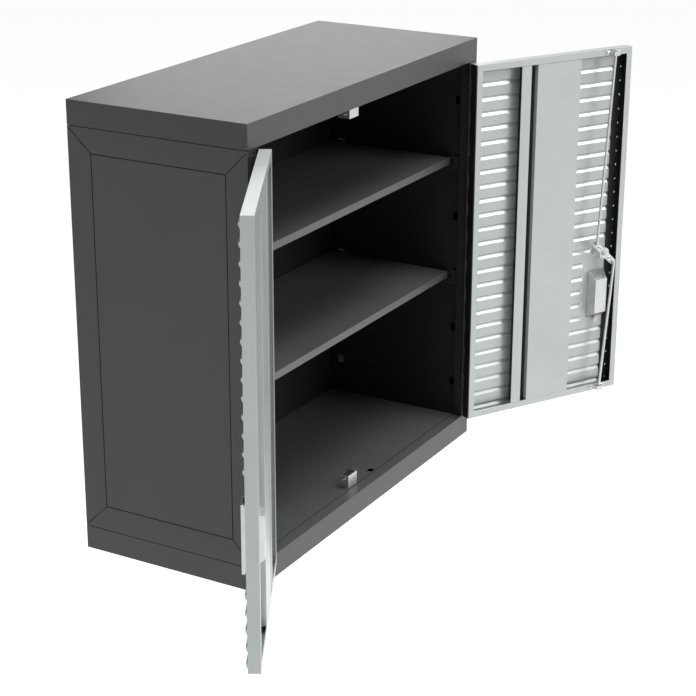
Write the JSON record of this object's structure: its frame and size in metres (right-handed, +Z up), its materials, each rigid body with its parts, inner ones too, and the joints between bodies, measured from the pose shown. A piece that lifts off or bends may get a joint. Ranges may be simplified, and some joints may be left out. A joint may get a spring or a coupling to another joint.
{
  "type": "hanging wall cabinet",
  "caption": "Wall-hung steel storage cabinet with ribbed inset double doors standing open, inner shelves, recessed pull handles and a key lock with rods",
  "frame": {"origin": "centre of the upper hanging rail's rear face, on the wall", "axes": "+X to the right as seen from the front, +Y into the wall, +Z up; the doors face -Y"},
  "size_m": [1.3216, 0.519, 0.758],
  "materials": {
    "body_paint": "satin charcoal powder coat",
    "interior_paint": "satin near-black powder coat",
    "door_paint": "satin silver grey metallic paint",
    "strip": "matt black",
    "zinc": "bright zinc plating"
  },
  "bodies": {
    "cabinet": {"lid": "body_paint", "base": "body_paint", "back_panel": "interior_paint", "floor_panel": "interior_paint", "ceiling_panel": "interior_paint", "upper_hanging_rail": "zinc", "lower_hanging_rail": "zinc", "left_side_panel": "body_paint", "right_side_panel": "body_paint", "left_liner": "interior_paint", "right_liner": "interior_paint", "upper_shelf": "interior_paint", "lower_shelf": "interior_paint", "lower_shelf_clip_left_front": "interior_paint", "lower_shelf_clip_left_rear": "interior_paint", "lower_shelf_clip_right_front": "interior_paint", "lower_shelf_clip_right_rear": "interior_paint", "upper_shelf_clip_left_front": "interior_paint", "upper_shelf_clip_left_rear": "interior_paint", "upper_shelf_clip_right_front": "interior_paint", "upper_shelf_clip_right_rear": "interior_paint", "upper_catch_bracket": "zinc", "upper_catch_magnet": "strip", "upper_catch_pin": "zinc", "lower_catch_bracket": "zinc", "lower_catch_magnet": "strip", "lower_catch_pin": "zinc", "left_frame_hinge_leaf": "zinc", "left_hinge_pin": "zinc", "right_frame_hinge_leaf": "zinc", "right_hinge_pin": "zinc"},
    "left_door": {"left_door_skin": "door_paint", "left_door_stiffener": "door_paint", "left_edge_strip": "strip", "left_door_hinge_leaf": "zinc", "left_pull_pan": "zinc", "left_pull_pin": "zinc", "left_pan_nut": "zinc"},
    "left_pull": {"left_pull_lever": "zinc"},
    "right_door": {"right_door_skin": "door_paint", "right_door_stiffener": "door_paint", "right_edge_strip": "strip", "right_door_hinge_leaf": "zinc", "right_pull_pan": "zinc", "right_pull_pin": "zinc", "right_pan_nut": "zinc", "lock_housing": "zinc", "lock_ring_nut": "zinc", "upper_rod_guide": "zinc", "lower_rod_guide": "zinc"},
    "right_pull": {"right_pull_lever": "zinc"},
    "lock_turning": {"lock_plug": "zinc", "lock_cam": "zinc", "lock_cam_nut": "zinc"},
    "upper_rod": {"upper_lock_rod": "zinc"},
    "lower_rod": {"lower_lock_rod": "zinc"}
  },
  "joints": [
    {"name": "left_door_hinge", "type": "hinge", "parent": "cabinet", "child": "left_door", "pos_m": [-0.3529, -0.329, -0.251], "axis": [0, 0, 1], "range_deg": [-13, 152]},
    {"name": "right_door_hinge", "type": "hinge", "parent": "cabinet", "child": "right_door", "pos_m": [0.3529, -0.329, -0.251], "axis": [0, 0, 1], "range_deg": [-150.5, 14.5]},
    {"name": "left_pull_hinge", "type": "hinge", "parent": "left_door", "child": "left_pull", "pos_m": [-0.62365, -0.46945, -0.3415], "axis": [0.8829, 0.4695, 0], "range_deg": [0, 30]},
    {"name": "right_pull_hinge", "type": "hinge", "parent": "right_door", "child": "right_pull", "pos_m": [0.61989, -0.47649, -0.3415], "axis": [0.8704, -0.4924, 0], "range_deg": [0, 30]},
    {"name": "lock_turn", "type": "hinge", "parent": "right_door", "child": "lock_turning", "pos_m": [0.60784, -0.4992, -0.307], "axis": [0.4924, 0.8704, 0], "range_deg": [0, 46.6]},
    {"name": "upper_rod_pivot", "type": "hinge", "parent": "lock_turning", "child": "upper_rod", "pos_m": [0.5885, -0.48941, -0.28652], "axis": [0.4924, 0.8704, 0], "range_deg": [-50.5, 0.5]},
    {"name": "lower_rod_pivot", "type": "hinge", "parent": "lock_turning", "child": "lower_rod", "pos_m": [0.62619, -0.51074, -0.32748], "axis": [0.4924, 0.8704, 0], "range_deg": [-52, 0.5]}
  ],
  "couplings": [
    {"joint": "upper_rod_pivot", "follows": "lock_turn", "ratio": -1.0728},
    {"joint": "lower_rod_pivot", "follows": "lock_turn", "ratio": -1.1048}
  ]
}
